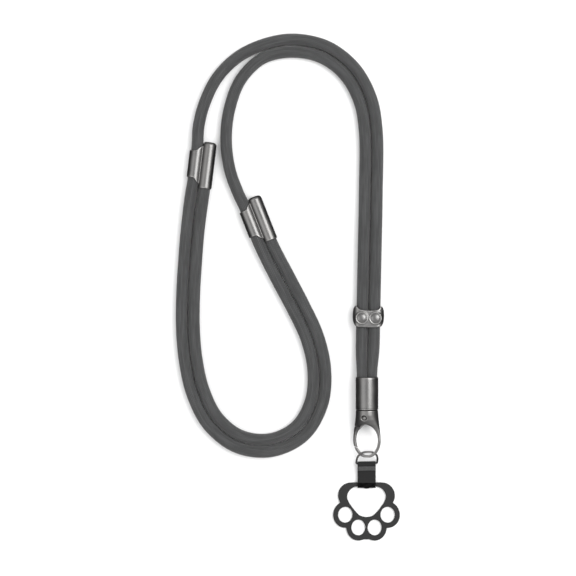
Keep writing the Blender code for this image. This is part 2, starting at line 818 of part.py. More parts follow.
def keeper_section():
    """Return the keeper's section across the cords: a block with round shoulders."""
    top = keeper_face()
    inset_x = KEEPER_HALF_WIDTH - KEEPER_SHOULDER
    outline = []
    corners = ((inset_x, top - KEEPER_SHOULDER, 0.0), (-inset_x, top - KEEPER_SHOULDER, 90.0))
    corners += ((-inset_x, KEEPER_SHOULDER, 180.0), (inset_x, KEEPER_SHOULDER, 270.0))
    for x, z, first in corners:
        for step in range(KEEPER_SHOULDER_STEPS + 1):
            angle = math.radians(first + 90.0 * step / KEEPER_SHOULDER_STEPS)
            outline.append((x + KEEPER_SHOULDER * math.cos(angle), z + KEEPER_SHOULDER * math.sin(angle)))
    return outline


def keeper_face():
    """Return the height of the keeper's front face over the table."""
    return KEEPER_CORD_HEIGHT + CORD_RADIUS + RUNNING_GAP + KEEPER_FACE_WALL


def keeper_boss(side):
    """Make one round boss of the keeper: a rim round a low dome."""
    face = keeper_face()
    rim = face + BOSS_RISE
    groove = face + BOSS_GROOVE_RISE
    foot = groove + BOSS_GROOVE_RISE
    profile = [(0.0, face - OVERRUN), (BOSS_RADIUS, face - OVERRUN), (BOSS_RADIUS, rim - BOSS_EDGE)]
    profile += [(BOSS_RADIUS - BOSS_EDGE, rim), (BOSS_RADIUS - BOSS_RIM_WIDTH, rim)]
    profile.append((BOSS_RADIUS - BOSS_RIM_WIDTH - BOSS_EDGE, groove))
    for degrees in (0.0, 30.0, 60.0):
        angle = math.radians(degrees)
        profile.append((DOME_RADIUS * math.cos(angle), foot + DOME_RISE * math.sin(angle)))
    profile.append((0.0, foot + DOME_RISE))
    return lathe(profile, KEEPER_SEGMENTS, "Z", (side * BOSS_X, BOSS_Y))


def build_keeper():
    """Make the cat-head keeper with its two bosses and the bores of both cords."""
    depth = KEEPER_HALF_WIDTH
    made = add_object("keeper", prism(keeper_section(), -depth, depth, (), "Y"), "gunmetal")
    head = prism(rounded(mirrored(KEEPER_HALF), 3), -OVERRUN, keeper_face() + OVERRUN)
    combine(made, add_object("head_cutter", head, "gunmetal"), "INTERSECT")
    for side in (-1.0, 1.0):
        combine(made, add_object("boss", keeper_boss(side), "gunmetal"), "UNION")
    bore = CORD_RADIUS + RUNNING_GAP
    for side in (-1.0, 1.0):
        profile = ((0.0, -depth), (bore, -depth), (bore, depth), (0.0, depth))
        centre = (side * CORD_PITCH / 2.0, KEEPER_CORD_HEIGHT)
        cutter = lathe(profile, KEEPER_SEGMENTS, "Y", centre)
        combine(made, add_object("keeper_bore", cutter, "gunmetal"), "DIFFERENCE")
    x = KEEPER_LINE_X + KEEPER_LINE_SLOPE * KEEPER_Y
    place(made, (x, KEEPER_Y, 0.0), Matrix.Rotation(math.radians(KEEPER_TILT), 3, "Z"))
    return made


def smooth_step(share):
    """Return the usual S-shaped rise from 0 to 1."""
    share = min(max(share, 0.0), 1.0)
    return share * share * (3.0 - 2.0 * share)


def step_outline():
    """Return the open barrel's front outline, whose ends sweep up to the blind barrel."""
    across = [-BARREL_RADIUS * 2.0 - CORD_PITCH]
    across += [-STEP_WIDTH + STEP_WIDTH * index / STEP_POINTS for index in range(STEP_POINTS + 1)]
    across.append(CORD_PITCH / 4.0)
    top = []
    for x in across:
        rise = STEP_RISE * smooth_step((x + STEP_WIDTH) / STEP_WIDTH)
        top.append((x, OPEN_HALF_LENGTH + rise))
    return [(x, -y) for x, y in top] + list(reversed(top))


def build_slider_mesh():
    """Make the slider's shared mesh in its own frame, +Y up its barrels."""
    half_pitch = CORD_PITCH / 2.0
    bore = CORD_RADIUS + RUNNING_GAP
    full = OPEN_HALF_LENGTH + STEP_RISE + OVERRUN
    tube = ((0.0, -full), (BARREL_RADIUS, -full), (BARREL_RADIUS, full), (0.0, full))
    made = add_object("slider", lathe(tube, SLIDER_SEGMENTS, "Y", (-half_pitch, 0.0)), "gunmetal")
    reach = BARREL_RADIUS * 2.0
    combine(made, add_object("step_cutter", prism(step_outline(), -reach, reach), "gunmetal"), "INTERSECT")
    top = BLIND_HALF_LENGTH
    edge = BLIND_MOUTH_EDGE
    blind = [(0.0, -top), (BARREL_RADIUS - edge, -top), (BARREL_RADIUS, -top + edge)]
    for step in range(5):
        angle = math.radians(22.5 * step)
        radius = BARREL_RADIUS - BLIND_TOP_ROUND + BLIND_TOP_ROUND * math.cos(angle)
        blind.append((radius, top - BLIND_TOP_ROUND + BLIND_TOP_ROUND * math.sin(angle)))
    blind.append((0.0, top))
    barrel = lathe(blind, SLIDER_SEGMENTS, "Y", (half_pitch, 0.0))
    combine(made, add_object("blind", barrel, "gunmetal"), "UNION")
    for side, high in ((-1.0, top * 2.0), (1.0, top - BLIND_TOP_WALL)):
        profile = ((0.0, -top * 2.0), (bore, -top * 2.0), (bore, high), (0.0, high))
        cutter = lathe(profile, SLIDER_SEGMENTS, "Y", (side * half_pitch, 0.0))
        combine(made, add_object("slider_bore", cutter, "gunmetal"), "DIFFERENCE")
    mesh = made.data
    bpy.data.objects.remove(made, do_unlink=True)
    return mesh


def build_sliders():
    """Place the slider's casting twice, on each side of the loop."""
    mesh = build_slider_mesh()
    for name, (x, y, tilt) in (("slider_left", SLIDER_LEFT_PLACE), ("slider_right", SLIDER_RIGHT_PLACE)):
        made = bpy.data.objects.new(name, mesh)
        bpy.context.collection.objects.link(made)
        place(made, (x, y, BARREL_RADIUS), Matrix.Rotation(math.radians(tilt), 3, "Z"))


def main():
    """Build every piece of the strap."""
    clear_scene()
    build_cord("cord_outer", OUTER_ROUTE)
    build_cord("cord_inner", INNER_ROUTE)
    build_sliders()
    build_keeper()
    build_ferrule()
    build_hook()
    build_gate()
    build_rivet()
    build_ring()
    build_tab()
    build_patch()


main()
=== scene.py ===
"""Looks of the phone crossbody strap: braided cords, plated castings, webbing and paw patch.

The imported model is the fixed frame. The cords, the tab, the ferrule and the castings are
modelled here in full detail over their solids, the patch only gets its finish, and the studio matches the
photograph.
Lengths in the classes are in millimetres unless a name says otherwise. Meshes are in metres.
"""

from __future__ import annotations

import json
import logging
import math
from dataclasses import dataclass, field
from enum import Enum
from typing import Iterable, Sequence

import bmesh
import bpy
from mathutils import Matrix, Vector

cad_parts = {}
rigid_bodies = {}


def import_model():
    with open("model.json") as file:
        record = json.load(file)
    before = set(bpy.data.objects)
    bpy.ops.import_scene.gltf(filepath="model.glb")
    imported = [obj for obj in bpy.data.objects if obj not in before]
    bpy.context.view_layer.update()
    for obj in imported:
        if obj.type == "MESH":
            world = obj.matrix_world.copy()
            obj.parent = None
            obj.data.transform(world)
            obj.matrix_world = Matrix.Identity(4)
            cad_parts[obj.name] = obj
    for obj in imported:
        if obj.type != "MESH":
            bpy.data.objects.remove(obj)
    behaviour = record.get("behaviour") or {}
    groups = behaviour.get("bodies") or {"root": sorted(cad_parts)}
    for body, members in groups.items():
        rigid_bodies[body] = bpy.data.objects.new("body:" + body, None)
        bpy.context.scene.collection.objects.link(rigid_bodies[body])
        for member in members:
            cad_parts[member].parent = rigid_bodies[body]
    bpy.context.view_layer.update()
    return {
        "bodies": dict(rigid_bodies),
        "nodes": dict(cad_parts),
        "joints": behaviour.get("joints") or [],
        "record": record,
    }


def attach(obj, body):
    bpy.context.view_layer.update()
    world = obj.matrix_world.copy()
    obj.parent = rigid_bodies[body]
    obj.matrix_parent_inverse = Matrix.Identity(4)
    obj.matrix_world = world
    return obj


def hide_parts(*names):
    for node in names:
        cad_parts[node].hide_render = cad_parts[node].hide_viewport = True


LOG = logging.getLogger("strap")
MM = 0.001

OUTER_ROUTE = (
    (51.9, -37.4, 7.45), (51.9, -23.2, 7.45), (52.2, -16.5, 6.7), (52.75, -10.0, 5.5),
    (53.1, -5.0, 5.0), (53.49, 14.0, 5.0), (54.15, 45.0, 5.0), (54.55, 64.0, 5.0),
    (55.25, 98.2, 3.95), (55.2, 140.6, 3.95), (51.2, 162.4, 3.95), (40.2, 182.0, 3.95),
    (22.3, 195.8, 3.95), (0.3, 200.6, 3.95), (-19.3, 197.4, 3.95), (-37.2, 188.8, 3.95),
    (-51.1, 174.7, 3.95), (-59.7, 156.8, 3.95), (-63.2, 142.0, 4.2), (-63.91, 129.6, 4.7),
    (-65.37, 117.7, 4.7), (-66.83, 105.8, 4.7), (-68.3, 97.4, 4.4), (-71.0, 75.6, 3.95),
    (-72.8, 53.7, 3.95), (-74.1, 31.7, 3.95), (-74.3, 9.5, 3.95), (-72.4, -12.8, 3.95),
    (-67.4, -34.8, 3.95), (-56.8, -55.4, 3.95), (-38.0, -70.1, 3.95), (-14.4, -72.8, 3.95),
    (7.2, -62.2, 3.95), (19.1, -41.5, 3.95), (21.0, -18.4, 3.95), (16.1, 4.0, 3.95),
    (6.8, 24.4, 3.95), (-3.3, 43.8, 4.1), (-14.65, 65.75, 4.7), (-24.55, 90.87, 4.7),
)
INNER_ROUTE = (
    (45.1, -37.4, 7.45), (45.1, -23.2, 7.45), (45.05, -16.5, 6.7), (44.95, -10.0, 5.5),
    (45.0, -5.0, 5.0), (45.39, 14.0, 5.0), (46.05, 45.0, 5.0), (46.45, 64.0, 5.0),
    (47.15, 98.3, 3.95), (47.1, 140.1, 3.95), (43.5, 159.7, 3.95), (34.1, 176.7, 3.95),
    (18.9, 188.4, 3.95), (-0.2, 192.4, 3.95), (-20.2, 188.3, 3.95), (-34.8, 174.4, 3.95),
    (-42.4, 155.3, 3.95), (-44.9, 134.9, 3.95), (-42.5, 114.5, 4.0), (-36.6, 97.9, 4.5),
    (-32.72, 89.8, 4.7), (-28.32, 78.65, 4.7), (-22.46, 63.75, 4.7), (-10.7, 40.0, 3.9),
    (-0.4, 20.7, 3.95), (8.5, 1.3, 3.95), (12.9, -19.0, 3.95), (11.3, -39.4, 3.95),
    (1.5, -56.4, 3.95), (-15.5, -64.8, 3.95), (-35.0, -62.6, 3.95), (-50.4, -50.5, 3.95),
    (-59.7, -32.2, 3.95), (-64.4, -11.6, 3.95), (-66.2, 9.8, 3.95), (-66.0, 31.3, 3.95),
    (-64.7, 53.1, 3.95), (-62.9, 74.8, 4.0), (-59.5, 99.84, 4.7), (-56.6, 123.6, 4.7),
)


class Slot(Enum):
    """The record's material slots."""

    CORD = "cord"
    GUNMETAL = "gunmetal"
    WEBBING = "webbing"
    PATCH = "patch"


class Body(Enum):
    """The bodies that pieces ride on."""

    LOOP = "loop"
    KEEPER = "keeper"
    CLASP = "clasp"
    GATE = "gate"


class Channel(Enum):
    """The kinds of value that a node group hands in or out."""

    VALUE = "NodeSocketFloat"
    VECTOR = "NodeSocketVector"


@dataclass
class NodeSheet:
    """A node tree with short calls for adding and joining nodes.

    Args:
        tree: The material's or the group's node tree.
    """

    tree: bpy.types.NodeTree

    def add(self, kind: str, **values: object) -> bpy.types.Node:
        """Add a node and set its properties.

        Args:
            kind: The node's type name without its ShaderNode prefix.
            values: Properties of the node, by name.

        Returns:
            The new node.
        """
        node = self.tree.nodes.new("ShaderNode" + kind)
        for name, value in values.items():
            setattr(node, name, value)
        return node

    def join(self, source: object, target: object) -> None:
        """Feed a socket or a plain number into another socket."""
        if isinstance(source, bpy.types.NodeSocket):
            self.tree.links.new(source, target)
        else:
            target.default_value = source

    def maths(self, operation: str, first: object, second: object = 0.0,
              third: object = 0.0, clamp: bool = False) -> bpy.types.NodeSocket:
        """Add a Math node.

        Args:
            operation: The Math node's operation.
            first: First socket or number.
            second: Second socket or number.
            third: Third socket or number, for operations that take one.
            clamp: Whether the result is kept between 0 and 1.

        Returns:
            The node's output socket.
        """
        node = self.add("Math", operation=operation, use_clamp=clamp)
        for value, target in zip((first, second, third), node.inputs):
            self.join(value, target)
        return node.outputs[0]

    def ramp(self, value: object, low: float, high: float,
             to_low: float = 0.0, to_high: float = 1.0) -> bpy.types.NodeSocket:
        """Add a smooth Map Range node.

        Args:
            value: Socket that is mapped.
            low: Value that gives to_low.
            high: Value that gives to_high.
            to_low: Result at low.
            to_high: Result at high.

        Returns:
            The mapped value's socket.
        """
        node = self.add("MapRange", interpolation_type="SMOOTHSTEP")
        for value_in, target in zip((value, low, high, to_low, to_high), node.inputs):
            self.join(value_in, target)
        return node.outputs[0]

    def mix(self, share: object, first: object, second: object) -> bpy.types.NodeSocket:
        """Add a colour mix.

        Args:
            share: Socket or number from 0 to 1.
            first: Colour at 0, a socket or four numbers.
            second: Colour at 1, a socket or four numbers.

        Returns:
            The mixed colour's socket.
        """
        node = self.add("Mix", data_type="RGBA")
        for value, name in ((share, "Factor_Float"), (first, "A_Color"), (second, "B_Color")):
            target = next(item for item in node.inputs if item.identifier == name)
            self.join(value, target)
        return next(item for item in node.outputs if item.identifier == "Result_Color")

    def rounded(self, offset: object, power: float) -> bpy.types.NodeSocket:
        """Add the profile of a rounded cell, 1 at its middle and 0 at its edges.

        Args:
            offset: Place in the cell, from -0.5 to 0.5.
            power: How flat the cell's top is.

        Returns:
            The profile's socket.
        """
        reach = self.maths("ABSOLUTE", self.maths("MULTIPLY", offset, 2.0))
        return self.maths("SUBTRACT", 1.0, self.maths("POWER", reach, power))

    def bump(self, height: object, distance: float, strength: float = 1.0,
             normal: object = None) -> bpy.types.NodeSocket:
        """Add a Bump node.

        Args:
            height: Height socket, from 0 to 1.
            distance: Height in metres that 1 stands for.
            strength: The bump's strength.
            normal: Socket of a bump underneath, or None.

        Returns:
            The bumped normal's socket.
        """
        node = self.add("Bump")
        node.inputs["Strength"].default_value = strength
        node.inputs["Distance"].default_value = distance
        self.join(height, node.inputs["Height"])
        if normal is not None:
            self.join(normal, node.inputs["Normal"])
        return node.outputs["Normal"]


class EffectLibrary:
    """Node groups that several finishes use, each built once."""

    def __init__(self) -> None:
        """Build every group."""
        self.grain = self._build_grain()
        self.edge_glint = self._build_edge_glint()
        self.yarn = self._build_yarn()

    @staticmethod
    def _open(name: str, ins: dict[str, tuple[Channel, float]],
              outs: dict[str, Channel]) -> tuple[NodeSheet, bpy.types.Node, bpy.types.Node]:
        """Make an empty group with its sockets.

        Args:
            name: The group's name.
            ins: Input names with their kind and default.
            outs: Output names with their kind.

        Returns:
            The group's sheet, its input node and its output node.
        """
        tree = bpy.data.node_groups.new(name, "ShaderNodeTree")
        for label, (kind, default) in ins.items():
            socket = tree.interface.new_socket(label, in_out="INPUT", socket_type=kind.value)
            if kind is Channel.VALUE:
                socket.default_value = default
        for label, kind in outs.items():
            tree.interface.new_socket(label, in_out="OUTPUT", socket_type=kind.value)
        source = tree.nodes.new("NodeGroupInput")
        sink = tree.nodes.new("NodeGroupOutput")
        return NodeSheet(tree), source, sink

    def _build_grain(self) -> bpy.types.NodeTree:
        """Build the fine grain: a small even noise with slow cloudy patches.

        Returns:
            The node group, with Grain and Cloud outputs from 0 to 1.
        """
        ins = {"Vector": (Channel.VECTOR, 0.0), "Fine Scale": (Channel.VALUE, 2600.0),
               "Cloud Scale": (Channel.VALUE, 90.0)}
        outs = {"Grain": Channel.VALUE, "Cloud": Channel.VALUE}
        sheet, source, sink = self._open("fine_grain", ins, outs)
        fine = sheet.add("TexNoise")
        fine.inputs["Detail"].default_value = 3.0
        fine.inputs["Roughness"].default_value = 0.6
        cloud = sheet.add("TexNoise")
        cloud.inputs["Detail"].default_value = 4.0
        for node, scale in ((fine, "Fine Scale"), (cloud, "Cloud Scale")):
            sheet.join(source.outputs["Vector"], node.inputs["Vector"])
            sheet.join(source.outputs[scale], node.inputs["Scale"])
        sheet.join(sheet.ramp(fine.outputs[0], 0.3, 0.7), sink.inputs["Grain"])
        sheet.join(sheet.ramp(cloud.outputs[0], 0.35, 0.65), sink.inputs["Cloud"])
        return sheet.tree

    def _build_edge_glint(self) -> bpy.types.NodeTree:
        """Build the painted edge highlight: where the rim mask is high, broken up by noise.

        Returns:
            The node group, with a Glint output from 0 to 1 that paints a highlight on the rims.
        """
        ins = {"Vector": (Channel.VECTOR, 0.0), "Rim": (Channel.VALUE, 0.0),
               "Break Scale": (Channel.VALUE, 700.0), "Amount": (Channel.VALUE, 1.0)}
        sheet, source, sink = self._open("painted_edge_glint", ins, {"Glint": Channel.VALUE})
        noise = sheet.add("TexNoise")
        noise.inputs["Detail"].default_value = 4.0
        sheet.join(source.outputs["Vector"], noise.inputs["Vector"])
        sheet.join(source.outputs["Break Scale"], noise.inputs["Scale"])
        broken = sheet.ramp(noise.outputs[0], 0.3, 0.62, 0.45, 1.0)
        rim = sheet.ramp(source.outputs["Rim"], 0.12, 0.75)
        # painted highlight: the rims are painted lighter where the rim mask is high, broken up by noise
        glinted = sheet.maths("MULTIPLY", rim, broken)
        amount = sheet.maths("MULTIPLY", glinted, source.outputs["Amount"], clamp=True)
        sheet.join(amount, sink.inputs["Glint"])
        return sheet.tree

    def _build_yarn(self) -> bpy.types.NodeTree:
        """Build the yarn pattern: rounded threads side by side with a fine fuzz.

        Returns:
            The node group, with Thread and Fuzz outputs from 0 to 1.
        """
        ins = {"Across": (Channel.VALUE, 0.0), "Along": (Channel.VALUE, 0.0),
               "Vector": (Channel.VECTOR, 0.0), "Fuzz Scale": (Channel.VALUE, 5200.0)}
        outs = {"Thread": Channel.VALUE, "Fuzz": Channel.VALUE}
        sheet, source, sink = self._open("yarn", ins, outs)
        wave = sheet.maths("SINE", sheet.maths("MULTIPLY", source.outputs["Across"], 2.0 * math.pi))
        twisted = sheet.maths("ADD", source.outputs["Across"], source.outputs["Along"])
        ply = sheet.maths("MULTIPLY", twisted, 6.0 * math.pi)
        strand = sheet.maths("MULTIPLY", sheet.maths("SINE", ply), 0.18)
        thread = sheet.maths("MULTIPLY_ADD", sheet.maths("ADD", wave, strand), 0.42, 0.5, clamp=True)
        noise = sheet.add("TexNoise")
        noise.inputs["Detail"].default_value = 2.0
        sheet.join(source.outputs["Vector"], noise.inputs["Vector"])
        sheet.join(source.outputs["Fuzz Scale"], noise.inputs["Scale"])
        sheet.join(thread, sink.inputs["Thread"])
        sheet.join(sheet.ramp(noise.outputs[0], 0.3, 0.7), sink.inputs["Fuzz"])
        return sheet.tree


def open_material(name: str) -> tuple[NodeSheet, bpy.types.Material, bpy.types.Node]:
    """Make an empty material with its Principled shader.

    Args:
        name: The material's name.

    Returns:
        The sheet of its tree, the material and its shader node.
    """
    made = bpy.data.materials.new(name)
    made.use_nodes = True
    sheet = NodeSheet(made.node_tree)
    return sheet, made, made.node_tree.nodes["Principled BSDF"]


def grey(level: float, warmth: float = 0.0) -> tuple[float, float, float, float]:
    """Return a near-neutral colour, warmer for a positive warmth."""
    return (level * (1.0 + warmth), level, level * (1.0 - warmth), 1.0)


@dataclass(frozen=True)
class PlatedMetal:
    """Dark satin plating over a zinc casting.

    Args:
        name: The material's name.
        base: Reflectance of the plating.
        glinted: Reflectance of the painted highlight on the convex edges.
        roughness: Mean roughness.
    """

    name: str
    base: float = 0.15
    glinted: float = 0.3
    roughness: float = 0.3

    def build(self, effects: EffectLibrary) -> bpy.types.Material:
        """Build the material from the grain group and the group that paints a highlight on the edges.

        Args:
            effects: The shared node groups.

        Returns:
            The finished material.
        """
        sheet, made, shader = open_material(self.name)
        place = sheet.add("TexCoord").outputs["Object"]
        grain = sheet.add("Group", node_tree=effects.grain)
        sheet.join(place, grain.inputs["Vector"])
        rim = sheet.add("Attribute", attribute_name="rim")
        edge_glint = sheet.add("Group", node_tree=effects.edge_glint)
        sheet.join(place, edge_glint.inputs["Vector"])
        sheet.join(rim.outputs["Fac"], edge_glint.inputs["Rim"])
        dull, bright = grey(self.base * 0.93, 0.01), grey(self.base * 1.07, 0.02)
        plated = sheet.mix(grain.outputs["Cloud"], dull, bright)
        # painted highlight: the convex edges are painted a lighter metal colour where the rim mask is high
        colour = sheet.mix(edge_glint.outputs["Glint"], plated, grey(self.glinted, 0.02))
        sheet.join(colour, shader.inputs["Base Color"])
        shader.inputs["Metallic"].default_value = 1.0
        uneven = sheet.maths("MULTIPLY_ADD", grain.outputs["Cloud"], 0.08, self.roughness - 0.04)
        fine = sheet.maths("MULTIPLY_ADD", grain.outputs["Grain"], 0.05, uneven)
        sheet.join(fine, shader.inputs["Roughness"])
        sheet.join(sheet.bump(grain.outputs["Grain"], 0.000012, 0.6), shader.inputs["Normal"])
        return made


@dataclass(frozen=True)
class BraidedCover:
    """Matt charcoal polyester braid, patterned along and around each cord.

    Args:
        name: The material's name.
        lit: Colour on the crowns of the ribs.
        shaded: Colour down between the ribs, painted shade.
        ribs: Ribs around the cord.
        stitch: Length of one plait along the cord, in metres.
    """

    name: str
    lit: float = 0.085
    shaded: float = 0.018
    ribs: int = 24
    stitch: float = 0.0016

    def build(self, effects: EffectLibrary) -> bpy.types.Material:
        """Build the material from the cord's own UV map, in metres along and turns around.

        Args:
            effects: The shared node groups.

        Returns:
            The finished material.
        """
        sheet, made, shader = open_material(self.name)
        uv = sheet.add("UVMap", uv_map="cord_uv")
        split = sheet.add("SeparateXYZ")
        sheet.join(uv.outputs[0], split.inputs[0])
        around = sheet.maths("MULTIPLY", split.outputs["X"], float(self.ribs))
        along = sheet.maths("MULTIPLY", split.outputs["Y"], 1.0 / self.stitch)
        parity = sheet.maths("MULTIPLY", sheet.maths("MODULO", sheet.maths("FLOOR", around), 2.0), 0.5)
        column = sheet.maths("SUBTRACT", sheet.maths("FRACT", around), 0.5)
        row = sheet.maths("SUBTRACT", sheet.maths("FRACT", sheet.maths("ADD", along, parity)), 0.5)
        place = sheet.add("TexCoord").outputs["Object"]
        yarn = sheet.add("Group", node_tree=effects.yarn)
        slant = sheet.maths("MULTIPLY", sheet.maths("SUBTRACT", parity, 0.25), 4.0)
        lean = sheet.maths("MULTIPLY", row, slant)
        sheet.join(sheet.maths("ADD", sheet.maths("MULTIPLY", column, 3.0), lean), yarn.inputs["Across"])
        sheet.join(along, yarn.inputs["Along"])
        sheet.join(place, yarn.inputs["Vector"])
        crown = sheet.maths("MULTIPLY", sheet.rounded(column, 2.2), sheet.rounded(row, 3.0), clamp=True)
        height = sheet.maths("MULTIPLY_ADD", yarn.outputs["Thread"], 0.25, sheet.maths("MULTIPLY", crown, 0.75))
        grain = sheet.add("Group", node_tree=effects.grain)
        sheet.join(place, grain.inputs["Vector"])
        grain.inputs["Cloud Scale"].default_value = 260.0
        streak = sheet.add("TexNoise", noise_dimensions="2D")
        stretched = sheet.add("CombineXYZ")
        sheet.join(sheet.maths("FLOOR", around), stretched.inputs["X"])
        sheet.join(sheet.maths("MULTIPLY", split.outputs["Y"], 28.0), stretched.inputs["Y"])
        sheet.join(stretched.outputs[0], streak.inputs["Vector"])
        streak.inputs["Scale"].default_value = 1.7
        tone = sheet.maths("MULTIPLY_ADD", sheet.ramp(streak.outputs[0], 0.3, 0.7), 0.45, 0.55)
        shade = sheet.maths("MULTIPLY", sheet.maths("MULTIPLY_ADD", height, 0.8, 0.2), tone, clamp=True)
        fuzzed = sheet.maths("MULTIPLY_ADD", yarn.outputs["Fuzz"], 0.16, shade, clamp=True)
        # painted light and shade: the ribs' crowns get the lit colour and the hollows between them the shaded
        # colour
        colour = sheet.mix(fuzzed, grey(self.shaded, -0.01), grey(self.lit, -0.01))
        sheet.join(colour, shader.inputs["Base Color"])
        sheet.join(sheet.maths("MULTIPLY_ADD", grain.outputs["Cloud"], 0.1, 0.74), shader.inputs["Roughness"])
        shader.inputs["Sheen Weight"].default_value = 0.25
        shader.inputs["Sheen Roughness"].default_value = 0.4
        shader.inputs["Specular IOR Level"].default_value = 0.3
        ribs = sheet.bump(height, 0.00022, 0.9)
        sheet.join(sheet.bump(yarn.outputs["Fuzz"], 0.00003, 0.5, ribs), shader.inputs["Normal"])
        return made


@dataclass(frozen=True)
class WovenTape:
    """Black woven tape with fine cross ribs.

    Args:
        name: The material's name.
        lit: Colour on top of the yarns.
        shaded: Colour between them, painted shade.
        rib: Spacing of the cross ribs, in metres.
        warp: Spacing of the warp yarns, in metres.
    """

    name: str
    lit: float = 0.02
    shaded: float = 0.004
    rib: float = 0.00062
    warp: float = 0.0005

    def build(self, effects: EffectLibrary) -> bpy.types.Material:
        """Build the material from the tape's UV map, in metres across and along.

        Args:
            effects: The shared node groups.

        Returns:
            The finished material.
        """
        sheet, made, shader = open_material(self.name)
        uv = sheet.add("UVMap", uv_map="tape_uv")
        split = sheet.add("SeparateXYZ")
        sheet.join(uv.outputs[0], split.inputs[0])
        across = sheet.maths("DIVIDE", split.outputs["X"], self.warp)
        along = sheet.maths("DIVIDE", split.outputs["Y"], self.rib)
        shift = sheet.maths("MULTIPLY", sheet.maths("MODULO", sheet.maths("FLOOR", across), 2.0), 0.5)
        place = sheet.add("TexCoord").outputs["Object"]
        yarn = sheet.add("Group", node_tree=effects.yarn)
        sheet.join(sheet.maths("ADD", along, shift), yarn.inputs["Across"])
        sheet.join(across, yarn.inputs["Along"])
        sheet.join(place, yarn.inputs["Vector"])
        side = sheet.maths("SINE", sheet.maths("MULTIPLY", across, math.pi))
        weave = sheet.maths("MULTIPLY", sheet.maths("ABSOLUTE", side), yarn.outputs["Thread"], clamp=True)
        shade = sheet.maths("MULTIPLY_ADD", yarn.outputs["Fuzz"], 0.25, weave, clamp=True)
        # painted light and shade: the tops of the yarns get the lit colour and the gaps between them the shaded
        # colour
        sheet.join(sheet.mix(shade, grey(self.shaded), grey(self.lit)), shader.inputs["Base Color"])
        shader.inputs["Roughness"].default_value = 0.78
        shader.inputs["Sheen Weight"].default_value = 0.12
        shader.inputs["Specular IOR Level"].default_value = 0.25
        sheet.join(sheet.bump(weave, 0.00012, 0.9), shader.inputs["Normal"])
        return made


@dataclass(frozen=True)
class SewingThread:
    """Twisted sewing thread, with painted shade in the grooves of its twist and painted light on its crowns.

    Args:
        name: The material's name.
        tone: Mean colour of the thread.
    """

    name: str
    tone: float = 0.07

    def build(self, effects: EffectLibrary) -> bpy.types.Material:
        """Build the material on Object coordinates.

        Args:
            effects: The shared node groups.

        Returns:
            The finished material.
        """
        sheet, made, shader = open_material(self.name)
        place = sheet.add("TexCoord").outputs["Object"]
        split = sheet.add("SeparateXYZ")
        sheet.join(place, split.inputs[0])
        yarn = sheet.add("Group", node_tree=effects.yarn)
        slant = sheet.maths("ADD", sheet.maths("MULTIPLY", split.outputs["X"], 900.0),
                            sheet.maths("MULTIPLY", split.outputs["Y"], 2200.0))
        sheet.join(slant, yarn.inputs["Across"])
        sheet.join(place, yarn.inputs["Vector"])
        shade = sheet.maths("MULTIPLY_ADD", yarn.outputs["Fuzz"], 0.3, yarn.outputs["Thread"], clamp=True)
        # painted light and shade: the crowns of the twist are painted lighter and its grooves darker
        colour = sheet.mix(shade, grey(self.tone * 0.5), grey(self.tone * 1.35))
        sheet.join(colour, shader.inputs["Base Color"])
        shader.inputs["Roughness"].default_value = 0.6
        shader.inputs["Sheen Weight"].default_value = 0.2
        sheet.join(sheet.bump(yarn.outputs["Thread"], 0.00006, 0.7), shader.inputs["Normal"])
        return made


@dataclass(frozen=True)
class MouldedSkin:
    """Black, fine-grained moulded plastic.

    Args:
        name: The material's name.
        base: Colour of the skin.
        glinted: Colour of the painted highlight on its rims.
        roughness: Mean roughness.
    """

    name: str
    base: float = 0.0075
    glinted: float = 0.02
    roughness: float = 0.5

    def build(self, effects: EffectLibrary) -> bpy.types.Material:
        """Build the material from the grain group and the group that paints a highlight on the edges.

        Args:
            effects: The shared node groups.

        Returns:
            The finished material.
        """
        sheet, made, shader = open_material(self.name)
        place = sheet.add("TexCoord").outputs["Object"]
        grain = sheet.add("Group", node_tree=effects.grain)
        sheet.join(place, grain.inputs["Vector"])
        grain.inputs["Fine Scale"].default_value = 3400.0
        edge_glint = sheet.add("Group", node_tree=effects.edge_glint)
        sheet.join(place, edge_glint.inputs["Vector"])
        sheet.join(sheet.add("Attribute", attribute_name="rim").outputs["Fac"], edge_glint.inputs["Rim"])
        mottled = sheet.mix(grain.outputs["Cloud"], grey(self.base * 0.85), grey(self.base * 1.15))
        # painted highlight: the rims are painted lighter where the rim mask is high
        sheet.join(sheet.mix(edge_glint.outputs["Glint"], mottled, grey(self.glinted)), shader.inputs["Base Color"])
        sheet.join(sheet.maths("MULTIPLY_ADD", grain.outputs["Grain"], 0.1, self.roughness - 0.05),
                   shader.inputs["Roughness"])
        shader.inputs["Specular IOR Level"].default_value = 0.35
        sheet.join(sheet.bump(grain.outputs["Grain"], 0.00002, 0.55), shader.inputs["Normal"])
        return made


@dataclass
class Wardrobe:
    """Every finish of the strap, built once."""

    effects: EffectLibrary = field(default_factory=EffectLibrary)
    metal: bpy.types.Material = field(init=False)
    braid: bpy.types.Material = field(init=False)
    tape: bpy.types.Material = field(init=False)
    thread: bpy.types.Material = field(init=False)
    skin: bpy.types.Material = field(init=False)

    def __post_init__(self) -> None:
        """Build the materials from the shared groups."""
        self.metal = PlatedMetal("gunmetal_plating").build(self.effects)
        self.braid = BraidedCover("cord_braid").build(self.effects)
        self.tape = WovenTape("tab_tape").build(self.effects)
        self.thread = SewingThread("tab_thread").build(self.effects)
        self.skin = MouldedSkin("patch_skin").build(self.effects)


